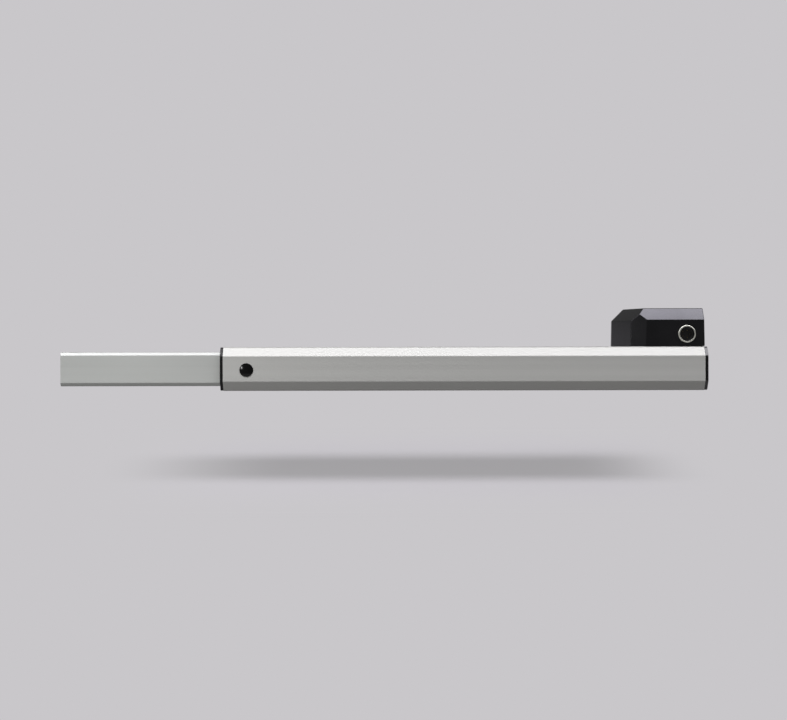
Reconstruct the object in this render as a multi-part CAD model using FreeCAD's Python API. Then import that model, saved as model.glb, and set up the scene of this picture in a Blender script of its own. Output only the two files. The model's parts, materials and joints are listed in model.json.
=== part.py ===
import FreeCAD, Part
import math
import os

# Electric linear actuator: a flat bevelled column with a telescoping ram, driven by a
# lead screw, a three-gear train and a motor under a faceted cover.
# Millimetres. X runs along the column, +X at the rear end; Z is up.
# The origin is the centre of the rear mounting face, on the lead screw's axis.

V = FreeCAD.Vector

# Column extrusion
tube_width = 85.0
tube_height = 45.0
tube_bevel_depth = 5.55
tube_bevel_height = 9.6
tube_wall = 3.0
tube_length = 493.8
tube_edge_radius = 2.5

# Rear cap
rear_cap_thickness = 3.2
rear_cap_inset = 0.25
rear_cap_bevel = 0.15
mount_spacing_y = 62.0
mount_spacing_z = 22.0
mount_hole_radius = 3.3
mount_thread_radius = 2.5
mount_thread_depth = 18.0
tab_length = 8.0
tab_width = 5.0
tab_thickness = 1.6

# Ram: the inner tube that slides out of the front end
stroke = 300.0
ram_bevel_depth = 2.0
ram_bevel_height = 3.4
ram_wall = 2.5
ram_edge_radius = 1.4
ram_stub = 14.4
ram_tail_room = 25.5

# Front bush: collar, sleeve and wiper round the ram
collar_thickness = 3.1
collar_inset = 0.3
collar_bevel = 0.25
bush_wall = 1.65
bush_sleeve_length = 45.0
wiper_depth = 1.6
wiper_width = 1.8

# Pegs that lock the bush in the column
peg_setback = 24.1
peg_drop = 1.0
peg_head_radius = 7.0
peg_head_rim = 0.5
peg_head_dome = 0.65
peg_shank_radius = 5.0

# Lead screw, its bearing and its front support
screw_radius = 8.0
journal_radius = 6.0
screw_front_margin = 8.0
screw_tail_gap = 3.8
bearing_radius = 14.0
bearing_width = 8.0
bearing_ring_wall = 2.2
lock_nut_radius = 10.0
lock_nut_thickness = 5.0
lock_nut_overhang = 1.0
spacer_wall = 2.5
support_thickness = 6.0

# Nut and carrier at the ram's rear end
nut_width = 25.0
nut_length = 36.0
nut_flange_width = 29.0
nut_flange_thickness = 5.0
carrier_plug_length = 42.0
carrier_flange_thickness = 8.0

# End plug at the ram's front end, with four threaded holes
plug_length = 20.0
plug_spacing_y = 50.0
plug_spacing_z = 16.0
plug_thread_radius = 2.5
plug_thread_depth = 15.0

# Gear train: lead screw gear, idler and motor pinion, on one upright line
gear_module = 1.0
pressure_angle = 20.0
screw_gear_teeth = 28
idler_teeth = 20
pinion_teeth = 14
gear_width = 10.0
gear_addendum = 1.0
gear_dedendum = 1.25
flank_thinning = 0.06
flank_steps = 2
gear_plate_gap = 3.0
idler_pin_radius = 3.0
idler_pin_head_radius = 4.5
idler_pin_head = 1.5
idler_hub_wall = 2.0

# Bearing block and drive plate
block_length = 26.0
pillar_land = 2.5
plate_thickness = 4.0
plate_half_width = 18.0
plate_neck_half_width = 14.0
plate_edge_margin = 1.0
notch_margin = 1.5

# Motor
motor_shaft_radius = 3.0
gearhead_radius = 16.0
gearhead_length = 16.0
motor_radius = 15.0
motor_length = 30.0
end_bell_radius = 12.5
end_bell_length = 4.5
terminal_height = 6.0
terminal_length = 6.0
terminal_web = 1.5
magnet_radius = 5.0
magnet_thickness = 3.0
board_width = 20.0
board_height = 16.0
board_thickness = 1.6
board_rib = 2.0

# Faceted motor cover
cover_width = 73.9
cover_wall = 2.5
cover_headroom = 2.45
cover_rear_setback = 2.35
nose_room = 12.0
cheek_length = 14.4
cheek_depth = 6.0
nose_length = 14.9
nose_width = 4.0
side_bevel_height = 12.25
side_bevel_depth = 6.4
nose_bevel_height = 13.3
nose_bevel_depth = 11.9
tip_bevel = 12.9
cover_draft = 1.0
cover_edge_bevel = 0.5
gasket_thickness = 0.6
gasket_inset = 0.9
gasket_width = 2.4

# Cover screws, at the foot of deep wells in the cover's top
well_radius = 3.0
well_margin = 1.65
well_wall = 0.9
well_floor = 3.0
cover_screw_radius = 1.7
cover_screw_head_radius = 2.7
cover_screw_head = 2.2
cover_screw_grip = 7.0

# Round power socket on the cover's front wall
socket_setback = 18.65
socket_rise = 12.9
socket_flange_radius = 9.0
socket_flange = 2.5
socket_bore_radius = 7.2
socket_thread_radius = 8.0
socket_depth = 6.0
socket_tail = 1.5
socket_insert_radius = 6.4
socket_rim_bevel = 0.5
socket_nut_radius = 10.5
socket_nut_thickness = 2.5

# Lead from the socket to the motor
lead_width = 4.0
lead_thickness = 2.0
lead_bend_radius = 5.0

# Clearances
seat_gap = 0.05
slide_gap = 0.3
run_gap = 0.4
bore_gap = 0.8

# Tolerance for finding edges
hair = 1e-6

# Sizes and places worked out from the values above. The ram stands half way out.
tube_rear = -rear_cap_thickness
tube_front = tube_rear - tube_length
tube_top = tube_height / 2
collar_front = tube_front - collar_thickness
bush_build_up = tube_wall + seat_gap + bush_wall + slide_gap
ram_width = tube_width - 2 * bush_build_up
ram_height = tube_height - 2 * bush_build_up
ram_front = collar_front - ram_stub - stroke / 2

screw_rear = tube_rear - screw_tail_gap
gear_rear = screw_rear - lock_nut_overhang - lock_nut_thickness
gear_front = gear_rear - gear_width
plate_rear = gear_front - gear_plate_gap
plate_front = plate_rear - plate_thickness
bearing_front = plate_front - bearing_width
block_front = plate_front - block_length
block_middle = plate_front - block_length / 2

nut_rear = block_front - ram_tail_room - stroke / 2
carrier_rear = nut_rear - nut_flange_thickness
ram_rear = carrier_rear - carrier_flange_thickness
carrier_front = ram_rear - carrier_plug_length
support_rear = carrier_front - stroke / 2 - screw_front_margin
screw_front = support_rear - support_thickness

screw_gear_pitch = gear_module * screw_gear_teeth / 2
idler_pitch = gear_module * idler_teeth / 2
pinion_pitch = gear_module * pinion_teeth / 2
idler_z = screw_gear_pitch + idler_pitch
motor_z = idler_z + idler_pitch + pinion_pitch

gearhead_front = plate_front - gearhead_length
motor_front = gearhead_front - motor_length
bell_front = motor_front - end_bell_length
terminal_rear = motor_front + terminal_length

cover_base = tube_top + gasket_thickness
cover_top = motor_z + gearhead_radius + cover_headroom + cover_wall
cover_rise = cover_top - cover_base
cover_rear = -cover_rear_setback
nose_tip = bell_front - nose_room
nose_rear = nose_tip + nose_length
cheek_rear = nose_rear + cheek_length
cover_side = cover_width / 2
nose_shoulder = cover_side - cheek_depth

socket_x = -cover_rear_setback - socket_setback
socket_z = tube_top + socket_rise
socket_face = -cover_side - socket_flange
socket_floor = socket_face + socket_depth
socket_back = -cover_side + cover_wall + socket_nut_thickness + socket_tail
peg_x = tube_front + peg_setback
well_rear_x = cover_rear - cover_wall - well_radius - well_wall
well_front_x = cheek_rear + well_radius + well_wall
well_y = cover_side - side_bevel_depth - well_margin - well_radius
screw_end = tube_top - tube_wall - cover_screw_grip
pillar_inner_y = well_y - cover_screw_radius - pillar_land
pillar_outer_y = mount_spacing_y / 2 + mount_thread_radius + pillar_land
tab_y = pillar_inner_y - bore_gap - tab_width / 2
lead_y = -(gearhead_radius + slide_gap + lead_thickness / 2)

TUBE = (tube_width, tube_height, tube_bevel_depth, tube_bevel_height)
RAM = (ram_width, ram_height, ram_bevel_depth, ram_bevel_height)


def box(x0, x1, y0, y1, z0, z1):
    return Part.makeBox(x1 - x0, y1 - y0, z1 - z0, V(x0, y0, z0))


def rod(radius, x0, x1, y=0.0, z=0.0):
    """Round bar along X."""
    return Part.makeCylinder(radius, x1 - x0, V(x0, y, z), V(1, 0, 0))


def rod_y(radius, x, y0, y1, z):
    """Round bar along Y."""
    return Part.makeCylinder(radius, y1 - y0, V(x, y0, z), V(0, 1, 0))


def rod_z(radius, x, y, z0, z1):
    """Round bar along Z."""
    return Part.makeCylinder(radius, z1 - z0, V(x, y, z0), V(0, 0, 1))


def square_bar(width, x0, x1):
    """Square bar along X, on the lead screw's axis."""
    return box(x0, x1, -width / 2, width / 2, -width / 2, width / 2)


def ring(outer, inner, x0, x1, y=0.0, z=0.0):
    return rod(outer, x0, x1, y, z).cut(rod(inner, x0, x1, y, z))


def hexagon(radius, centre, along, length):
    """Hexagonal prism, radius to its corners."""
    prism = Part.Face(Part.makePolygon(hexagon_corners(radius))).extrude(V(0, 0, length))
    prism.Placement = FreeCAD.Placement(centre, FreeCAD.Rotation(V(0, 0, 1), along))
    return prism


def hexagon_corners(radius):
    angles = [math.radians(60 * index) for index in range(7)]
    return [V(radius * math.cos(angle), radius * math.sin(angle), 0) for angle in angles]


def bevelled_points(section, grow=0.0):
    """Corners, in Y and Z, of a rectangle with its corners bevelled, every side moved out by grow."""
    width, height, depth, rise = section
    slope = math.hypot(depth, rise)
    side = width / 2 + grow
    top = height / 2 + grow
    reach = rise * (width / 2 - depth) + depth * height / 2 + grow * slope
    top_y = (reach - depth * top) / rise
    side_z = (reach - rise * side) / depth
    quarter = [(side, side_z), (top_y, top)]
    half = quarter + [(-y, z) for y, z in reversed(quarter)]
    return half + [(-y, -z) for y, z in half]


def bevelled_bar(section, x0, x1, grow=0.0, edge_radius=0.0):
    """Bar along X of a bevelled section, with its long edges rounded."""
    points = [V(x0, y, z) for y, z in bevelled_points(section, grow)]
    bar = Part.Face(Part.makePolygon(points + points[:1])).extrude(V(x1 - x0, 0, 0))
    if edge_radius > 0:
        long_edges = [e for e in bar.Edges if e.BoundBox.XLength > hair]
        bar = bar.makeFillet(edge_radius, long_edges)
    return bar


def end_edges(shape, x):
    """Edges that lie in the plane at x."""
    return [e for e in shape.Edges if all(abs(v.X - x) < hair for v in e.Vertexes)]


def trim(shape, point, outward):
    """What is left of a shape behind a plane."""
    reach = 4 * shape.BoundBox.DiagonalLength
    blade = Part.makeBox(reach, reach, reach, V(-reach / 2, -reach / 2, 0))
    blade.Placement = FreeCAD.Placement(point, FreeCAD.Rotation(V(0, 0, 1), outward))
    return shape.cut(blade)


def corners(half_y, half_z):
    return [(sy * half_y, sz * half_z) for sy in (-1, 1) for sz in (-1, 1)]


def involute(angle):
    return math.tan(angle) - angle


def gear(teeth, bore, x0, x1, z, first_tooth):
    """Spur gear along X. first_tooth is the angle, from +Y towards +Z, of one tooth's middle."""
    pitch = gear_module * teeth / 2
    base = pitch * math.cos(math.radians(pressure_angle))
    tip = pitch + gear_addendum * gear_module
    root = pitch - gear_dedendum * gear_module
    start = max(base, root)
    half_pitch = math.pi / (2 * teeth) - flank_thinning * gear_module / pitch
    half_base = half_pitch + involute(math.radians(pressure_angle))

    def spot(radius, angle):
        return V(x0, radius * math.cos(angle), z + radius * math.sin(angle))

    def half_angle(radius):
        return half_base - involute(math.acos(min(1.0, base / radius)))

    radii = [start + (tip - start) * share / flank_steps for share in range(flank_steps + 1)]
    flank = [(radius, half_angle(radius)) for radius in radii]
    if start > root:
        flank.insert(0, (root, half_angle(start)))
    points = []
    for index in range(teeth):
        centre = first_tooth + index * 2 * math.pi / teeth
        points += [spot(radius, centre - angle) for radius, angle in flank]
        points += [spot(radius, centre + angle) for radius, angle in reversed(flank)]
    blank = Part.Face(Part.makePolygon(points + points[:1])).extrude(V(x1 - x0, 0, 0))
    return blank.cut(rod(bore, x0, x1, 0, z))


def cover_form(inset, z0, z1, bevelled):
    """The cover's faceted block, every facet moved in by inset."""
    lean = math.radians(cover_draft)
    form = box(nose_tip, cover_rear, -cover_side, cover_side, z0, z1)
    facets = [
        (V(cover_rear, 0, cover_base), V(1, 0, math.tan(lean))),
        (V(nose_tip, 0, cover_base), V(-1, 0, math.tan(lean))),
    ]
    for side in (-1, 1):
        wall = V(cover_rear, side * cover_side, cover_base)
        cheek = V(nose_rear, side * nose_shoulder, cover_base)
        cheek_out = V(-cheek_depth, side * cheek_length, 0).normalize()
        nose_out = V(nose_width / 2 - nose_shoulder, side * nose_length, 0).normalize()
        facets.append((wall, V(0, side, 0)))
        facets.append((cheek, cheek_out + V(0, 0, math.tan(lean))))
        facets.append((cheek, nose_out + V(0, 0, math.tan(lean))))
        if bevelled:
            side_out = V(0, side * side_bevel_height, side_bevel_depth)
            nose_up = nose_out * nose_bevel_height + V(0, 0, nose_bevel_depth)
            facets.append((wall + V(0, 0, cover_rise - side_bevel_height), side_out))
            facets.append((cheek + V(0, 0, cover_rise - nose_bevel_height), nose_up))
    if bevelled:
        facets.append((V(nose_tip + tip_bevel, 0, cover_top), V(-1, 0, 1)))
    for point, outward in facets:
        outward.normalize()
        form = trim(form, point - outward * inset, outward)
    return form


def well_places():
    """Middles of the four cover screws."""
    return [(x, side * well_y) for x in (well_rear_x, well_front_x) for side in (-1, 1)]


def outer_tube():
    body = bevelled_bar(TUBE, tube_front, tube_rear, 0, tube_edge_radius)
    body = body.cut(bevelled_bar(TUBE, tube_front, tube_rear, -tube_wall))
    notch_half = plate_neck_half_width + notch_margin
    notch = box(plate_front - notch_margin, tube_rear, -notch_half, notch_half, 0, cover_base)
    body = body.cut(notch)
    body = body.cut(rod_y(peg_shank_radius + seat_gap, peg_x, -tube_width, tube_width, -peg_drop))
    for x, y in well_places():
        body = body.cut(rod_z(cover_screw_radius + seat_gap, x, y, 0, cover_base))
    return body


def front_bush():
    collar = bevelled_bar(TUBE, collar_front, tube_front, -collar_inset, tube_edge_radius)
    collar = collar.makeChamfer(collar_bevel, end_edges(collar, collar_front))
    sleeve = bevelled_bar(TUBE, tube_front, tube_front + bush_sleeve_length, -tube_wall - seat_gap)
    body = collar.fuse(sleeve)
    body = body.cut(bevelled_bar(RAM, collar_front, tube_front + bush_sleeve_length, slide_gap))
    body = body.cut(bevelled_bar(RAM, collar_front, collar_front + wiper_depth, wiper_width + slide_gap))
    return body.cut(rod_y(peg_shank_radius + seat_gap, peg_x, -tube_width, tube_width, -peg_drop))


def wiper_seal():
    lip = bevelled_bar(RAM, collar_front, collar_front + wiper_depth, wiper_width + slide_gap - seat_gap)
    return lip.cut(bevelled_bar(RAM, collar_front, collar_front + wiper_depth, slide_gap))


def bush_pegs():
    """Domed pegs on both narrow sides, through the column's wall into the bush."""
    sphere_radius = (peg_head_radius**2 + peg_head_dome**2) / (2 * peg_head_dome)
    face = tube_width / 2
    rim = face + peg_head_rim
    ball = Part.makeSphere(sphere_radius, V(peg_x, rim + peg_head_dome - sphere_radius, -peg_drop))
    head = rod_y(peg_head_radius, peg_x, face, rim + peg_head_dome, -peg_drop).common(ball)
    shank_end = ram_width / 2 + slide_gap + run_gap
    peg = head.fuse(rod_y(peg_shank_radius, peg_x, shank_end, face, -peg_drop)).removeSplitter()
    return Part.makeCompound([peg, peg.mirror(V(0, 0, 0), V(0, 1, 0))])


def rear_cap():
    """Push-in end cap with four tabs inside the column and holes over the mounting threads."""
    plate = bevelled_bar(TUBE, tube_rear, 0, -rear_cap_inset, tube_edge_radius)
    plate = plate.makeChamfer(rear_cap_bevel, end_edges(plate, 0))
    for y, z in corners(mount_spacing_y / 2, mount_spacing_z / 2):
        plate = plate.cut(rod(mount_hole_radius, tube_rear, 0, y, z))
    room = bevelled_bar(TUBE, tube_rear - tab_length, tube_rear, -tube_wall - seat_gap)
    core = bevelled_bar(TUBE, tube_rear - tab_length, tube_rear, -tube_wall - seat_gap - tab_thickness)
    rim = room.cut(core)
    for side in (-1, 1):
        y0 = side * tab_y - tab_width / 2
        strip = box(tube_rear - tab_length, tube_rear, y0, y0 + tab_width, -tube_height, tube_height)
        plate = plate.fuse(rim.common(strip))
    return plate.removeSplitter()


def bearing_block():
    """Cast block in the column, with two pillars for the mounting threads and the rear cover screws."""
    room = bevelled_bar(TUBE, block_front, tube_rear, -tube_wall - seat_gap)
    body = room.common(box(block_front, plate_front, -tube_width, tube_width, -tube_height, tube_height))
    for side in (-1, 1):
        y0 = min(side * pillar_inner_y, side * pillar_outer_y)
        y1 = max(side * pillar_inner_y, side * pillar_outer_y)
        pillar = box(plate_front, tube_rear, y0, y1, -tube_height, tube_height)
        body = body.fuse(pillar.common(room))
    body = body.cut(rod(bearing_radius + seat_gap, bearing_front, plate_front))
    body = body.cut(rod(screw_radius + bore_gap, block_front, bearing_front))
    for y, z in corners(mount_spacing_y / 2, mount_spacing_z / 2):
        body = body.cut(rod(mount_thread_radius, tube_rear - mount_thread_depth, tube_rear, y, z))
    for x, y in well_places():
        body = body.cut(rod_z(cover_screw_radius + seat_gap, x, y, screw_end, tube_top))
    return body.removeSplitter()


def bearing_outer_ring():
    """Outer ring with its seals, down to the running gap over the inner ring."""
    inner = journal_radius + bearing_ring_wall + slide_gap
    return ring(bearing_radius, inner, bearing_front, plate_front)


def bearing_inner_ring():
    inner = journal_radius + seat_gap
    return ring(journal_radius + bearing_ring_wall, inner, bearing_front, plate_front)


def drive_plate():
    low = -(tube_height / 2 - tube_wall - plate_edge_margin)
    foot = box(plate_front, plate_rear, -plate_half_width, plate_half_width, low, -low)
    neck = box(plate_front, plate_rear, -plate_neck_half_width, plate_neck_half_width, 0, motor_z)
    body = foot.fuse([neck, rod(gearhead_radius, plate_front, plate_rear, 0, motor_z)]).removeSplitter()
    body = body.cut(rod(journal_radius + spacer_wall + bore_gap, plate_front, plate_rear))
    body = body.cut(rod(idler_pin_radius + seat_gap, plate_front, plate_rear, 0, idler_z))
    body = body.cut(rod(motor_shaft_radius + slide_gap, plate_front, plate_rear, 0, motor_z))
    return body


def idler_pin():
    """Headed pin in the drive plate that the idler runs on."""
    head_front = gear_rear + slide_gap
    pin = rod(idler_pin_radius, plate_front, head_front, 0, idler_z)
    head = rod(idler_pin_head_radius, head_front, head_front + idler_pin_head, 0, idler_z)
    return pin.fuse(head).removeSplitter()


def screw_gear():
    bore = journal_radius + seat_gap
    return gear(screw_gear_teeth, bore, gear_front, gear_rear, 0, math.pi / 2)


def idler_gear():
    """Idler with a hub that keeps it off the drive plate."""
    bore = idler_pin_radius + slide_gap
    first = -math.pi / 2 + math.pi / idler_teeth
    wheel = gear(idler_teeth, bore, gear_front, gear_rear, idler_z, first)
    hub = ring(bore + idler_hub_wall, bore, plate_rear + slide_gap, gear_front, 0, idler_z)
    return wheel.fuse(hub).removeSplitter()


def motor_pinion():
    """Pinion that meets the idler's gap, whether the idler's tooth count is even or odd."""
    bore = motor_shaft_radius + seat_gap
    first = -math.pi / 2 + (idler_teeth % 2) * math.pi / pinion_teeth
    return gear(pinion_teeth, bore, gear_front, gear_rear, motor_z, first)


def lead_screw():
    """Plain blank of the screw: thread diameter, bearing shoulder and gear journal."""
    body = rod(screw_radius, support_rear, bearing_front)
    tail = rod(journal_radius, bearing_front, screw_rear)
    spigot = rod(journal_radius, screw_front, support_rear)
    return body.fuse([tail, spigot]).removeSplitter()


def screw_support():
    """Plastic slide block that carries the screw's front end inside the ram."""
    block = bevelled_bar(RAM, screw_front, support_rear, -ram_wall - slide_gap)
    return block.cut(rod(journal_radius + slide_gap, screw_front, support_rear))


def bearing_spacer():
    outer = journal_radius + spacer_wall
    return ring(outer, journal_radius + seat_gap, plate_front, gear_front)


def lock_nut():
    """Hexagon nut behind the screw gear."""
    nut = hexagon(lock_nut_radius, V(gear_rear, 0, 0), V(1, 0, 0), lock_nut_thickness)
    return nut.cut(rod(journal_radius + seat_gap, gear_rear, gear_rear + lock_nut_thickness))


def gearhead():
    return ring(gearhead_radius, motor_shaft_radius + slide_gap, gearhead_front, plate_front, 0, motor_z)


def motor_can():
    return rod(motor_radius, motor_front, gearhead_front, 0, motor_z)


def motor_end_bell():
    """Brush cap on the motor's end, with a terminal arm beside the can that takes the lead."""
    z0 = socket_z - terminal_height / 2
    z1 = socket_z + terminal_height / 2
    x0 = motor_front - terminal_web
    y0 = lead_y - lead_thickness / 2
    arm = box(x0, terminal_rear, y0, -motor_radius - seat_gap, z0, z1)
    web = box(x0, motor_front, y0, 0, z0, z1)
    return rod(end_bell_radius, bell_front, motor_front, 0, motor_z).fuse([arm, web]).removeSplitter()


def motor_shaft():
    return rod(motor_shaft_radius, gearhead_front + slide_gap, gear_rear, 0, motor_z)


def sensor_magnet():
    """Disc on the end of the motor's shaft, in front of the sensor board."""
    return rod(magnet_radius, gear_rear, gear_rear + magnet_thickness, 0, motor_z)


def sensor_board():
    """Rotation sensor board, flat on a rib of the cover's rear wall."""
    x0, x1 = board_planes()
    half = board_width / 2
    z0 = motor_z - board_height / 2
    return box(x0, x1, -half, half, z0, z0 + board_height)


def board_planes():
    """Front and rear faces of the sensor board, clear of the magnet."""
    x1 = cover_rear - cover_wall - math.tan(math.radians(cover_draft)) * cover_rise
    return x1 - board_thickness, x1


def motor_cover():
    body = cover_form(0, cover_base, cover_top, True)
    rim = [e for e in body.Edges if any(v.Z > cover_base + hair for v in e.Vertexes)]
    body = body.makeChamfer(cover_edge_bevel, rim)
    hollow = cover_form(cover_wall, cover_base, cover_top - cover_wall, True)
    body = body.cut(hollow)
    shell_room = cover_form(cover_wall / 2, cover_base, cover_top - cover_wall / 2, True)
    half = well_radius + well_wall
    for x, y in well_places():
        tower = box(x - half, x + half, y - half, y + half, cover_base, cover_top)
        body = body.fuse(tower.common(shell_room))
    for x, y in well_places():
        body = body.cut(rod_z(well_radius, x, y, cover_base + well_floor, cover_top))
        body = body.cut(rod_z(cover_screw_radius + seat_gap, x, y, cover_base, cover_top))
    x1 = board_planes()[1]
    half = board_width / 2
    rib = box(x1, cover_rear - cover_wall / 2, -half, half, motor_z, motor_z + board_rib)
    body = body.fuse(rib)
    opening = rod_y(socket_thread_radius + seat_gap, socket_x, -cover_side, socket_back, socket_z)
    return body.cut(opening).removeSplitter()


def cover_gasket():
    outer = cover_form(gasket_inset, tube_top, cover_base, False)
    return outer.cut(cover_form(gasket_inset + gasket_width, tube_top, cover_base, False))


def cover_screws():
    """Hexagon screws through the cover's wells. The rear pair also holds the bearing block in the column."""
    screws = []
    for x, y in well_places():
        seat = cover_base + well_floor
        head = hexagon(cover_screw_head_radius, V(x, y, seat), V(0, 0, 1), cover_screw_head)
        shank = rod_z(cover_screw_radius, x, y, screw_end, seat)
        screws.append(head.fuse(shank).removeSplitter())
    return Part.makeCompound(screws)


def socket_shell():
    flange = rod_y(socket_flange_radius, socket_x, socket_face, -cover_side, socket_z)
    rim = [e for e in flange.Edges if e.BoundBox.YMax < socket_face + hair]
    flange = flange.makeChamfer(socket_rim_bevel, rim)
    barrel = rod_y(socket_thread_radius, socket_x, -cover_side, socket_back, socket_z)
    body = flange.fuse(barrel).removeSplitter()
    body = body.cut(rod_y(socket_bore_radius, socket_x, socket_face, socket_floor, socket_z))
    return body.cut(rod_y(socket_insert_radius, socket_x, socket_floor, socket_back, socket_z))


def socket_insert():
    """Insulating disc at the foot of the shell's bore."""
    return rod_y(socket_insert_radius - seat_gap, socket_x, socket_floor, socket_back, socket_z)


def socket_nut():
    y0 = -cover_side + cover_wall
    y1 = y0 + socket_nut_thickness
    nut = hexagon(socket_nut_radius, V(socket_x, y0, socket_z), V(0, 1, 0), socket_nut_thickness)
    return nut.cut(rod_y(socket_thread_radius + seat_gap, socket_x, y0, y1, socket_z))


def motor_lead():
    """Flat two-core lead from the socket's back along the motor to its terminal arm."""
    bend = lead_bend_radius
    diagonal = bend * math.sqrt(0.5)
    start = V(socket_x, socket_back, socket_z)
    turn_in = V(socket_x, lead_y - bend, socket_z)
    turn_mid = V(socket_x - bend + diagonal, lead_y - bend + diagonal, socket_z)
    turn_out = V(socket_x - bend, lead_y, socket_z)
    run_end = V(terminal_rear, lead_y, socket_z)
    edges = [
        Part.LineSegment(start, turn_in),
        Part.Arc(turn_in, turn_mid, turn_out),
        Part.LineSegment(turn_out, run_end),
    ]
    path = Part.Wire([e.toShape() for e in edges])
    half = lead_thickness / 2
    rise = lead_width / 2
    section = [start + V(x, 0, z) for x, z in ((-half, -rise), (half, -rise), (half, rise), (-half, rise))]
    return path.makePipe(Part.Face(Part.makePolygon(section + section[:1])))


def inner_tube():
    body = bevelled_bar(RAM, ram_front, ram_rear, 0, ram_edge_radius)
    return body.cut(bevelled_bar(RAM, ram_front, ram_rear, -ram_wall))


def end_plug():
    body = bevelled_bar(RAM, ram_front, ram_front + plug_length, -ram_wall - seat_gap)
    for y, z in corners(plug_spacing_y / 2, plug_spacing_z / 2):
        body = body.cut(rod(plug_thread_radius, ram_front, ram_front + plug_thread_depth, y, z))
    return body


def nut_carrier():
    """Slide shoe that closes the ram's rear end and holds the nut."""
    plug = bevelled_bar(RAM, carrier_front, ram_rear, -ram_wall - seat_gap)
    shoe = bevelled_bar(TUBE, ram_rear, carrier_rear, -tube_wall - slide_gap)
    body = plug.fuse(shoe).removeSplitter()
    body = body.cut(rod(screw_radius + bore_gap, carrier_front, carrier_rear))
    return body.cut(square_bar(nut_width + 2 * seat_gap, nut_rear - nut_length, carrier_rear))


def screw_nut():
    """Square nut keyed in the carrier, with a flange behind it."""
    body = square_bar(nut_width, nut_rear - nut_length, carrier_rear)
    body = body.fuse(square_bar(nut_flange_width, carrier_rear, nut_rear)).removeSplitter()
    return body.cut(rod(screw_radius + slide_gap, nut_rear - nut_length, nut_rear))


PIECES = {
    "outer_tube": outer_tube,
    "front_bush": front_bush,
    "wiper_seal": wiper_seal,
    "bush_pegs": bush_pegs,
    "rear_cap": rear_cap,
    "bearing_block": bearing_block,
    "bearing_outer_ring": bearing_outer_ring,
    "bearing_inner_ring": bearing_inner_ring,
    "drive_plate": drive_plate,
    "idler_pin": idler_pin,
    "screw_gear": screw_gear,
    "idler_gear": idler_gear,
    "motor_pinion": motor_pinion,
    "lead_screw": lead_screw,
    "screw_support": screw_support,
    "bearing_spacer": bearing_spacer,
    "lock_nut": lock_nut,
    "gearhead": gearhead,
    "motor_can": motor_can,
    "motor_end_bell": motor_end_bell,
    "motor_shaft": motor_shaft,
    "sensor_magnet": sensor_magnet,
    "sensor_board": sensor_board,
    "motor_cover": motor_cover,
    "cover_gasket": cover_gasket,
    "cover_screws": cover_screws,
    "socket_shell": socket_shell,
    "socket_insert": socket_insert,
    "socket_nut": socket_nut,
    "motor_lead": motor_lead,
    "inner_tube": inner_tube,
    "end_plug": end_plug,
    "nut_carrier": nut_carrier,
    "screw_nut": screw_nut,
}

os.makedirs("parts", exist_ok=True)
for name, make in PIECES.items():
    make().exportStep("parts/" + name + ".step")
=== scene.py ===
import json
import math

import bmesh
import bpy
from bpy.props import FloatProperty, FloatVectorProperty, IntProperty, PointerProperty
from bpy.types import Operator, Panel, PropertyGroup
from mathutils import Matrix, Vector


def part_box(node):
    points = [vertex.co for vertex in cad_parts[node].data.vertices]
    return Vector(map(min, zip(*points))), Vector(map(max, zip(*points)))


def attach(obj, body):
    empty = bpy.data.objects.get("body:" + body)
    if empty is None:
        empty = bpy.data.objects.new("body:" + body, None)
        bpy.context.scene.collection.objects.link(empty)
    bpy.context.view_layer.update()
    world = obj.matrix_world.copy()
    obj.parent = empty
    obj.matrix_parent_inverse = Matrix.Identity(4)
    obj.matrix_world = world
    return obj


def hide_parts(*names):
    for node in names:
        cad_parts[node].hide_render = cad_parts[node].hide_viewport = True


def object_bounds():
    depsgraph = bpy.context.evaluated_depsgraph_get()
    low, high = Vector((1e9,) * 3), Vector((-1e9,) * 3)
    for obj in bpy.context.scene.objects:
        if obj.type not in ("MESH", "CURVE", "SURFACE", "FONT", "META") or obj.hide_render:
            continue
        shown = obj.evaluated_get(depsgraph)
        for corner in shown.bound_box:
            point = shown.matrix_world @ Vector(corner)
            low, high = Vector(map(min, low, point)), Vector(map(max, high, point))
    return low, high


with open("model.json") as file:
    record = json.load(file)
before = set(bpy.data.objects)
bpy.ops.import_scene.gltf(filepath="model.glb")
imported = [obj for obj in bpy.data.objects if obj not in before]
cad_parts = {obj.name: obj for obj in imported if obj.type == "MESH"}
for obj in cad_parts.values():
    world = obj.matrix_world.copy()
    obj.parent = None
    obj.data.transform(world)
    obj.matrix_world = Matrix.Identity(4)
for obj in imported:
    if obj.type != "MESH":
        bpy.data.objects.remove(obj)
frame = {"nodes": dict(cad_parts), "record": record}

bl_info = {
    "name": "Electric linear actuator",
    "version": (1, 0, 0),
    "blender": (4, 5, 0),
    "location": "View3D > Sidebar > Actuator",
    "description": "Finishes and small details for a flat column actuator, and its studio",
    "category": "Object",
}

CAD_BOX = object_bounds()
FULL_TURN = 2 * math.pi
MERGE = 1e-6  # points nearer than this are one
FLAT = math.radians(0.4)  # faces that meet at a smaller angle are one
NOISE_RANGE = (0.3, 0.7)  # where most of a noise texture's values lie

# Tapped holes: half their spacing across and up, as in the mounts, and their depth
RAM_HOLES, RAM_HOLE_DEPTH = (0.025, 0.008), 0.0145
MOUNT_HOLES, MOUNT_HOLE_DEPTH = (0.031, 0.011), 0.0175
DRILL_OVERRUN = 0.001  # start of a drill outside the face

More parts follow.
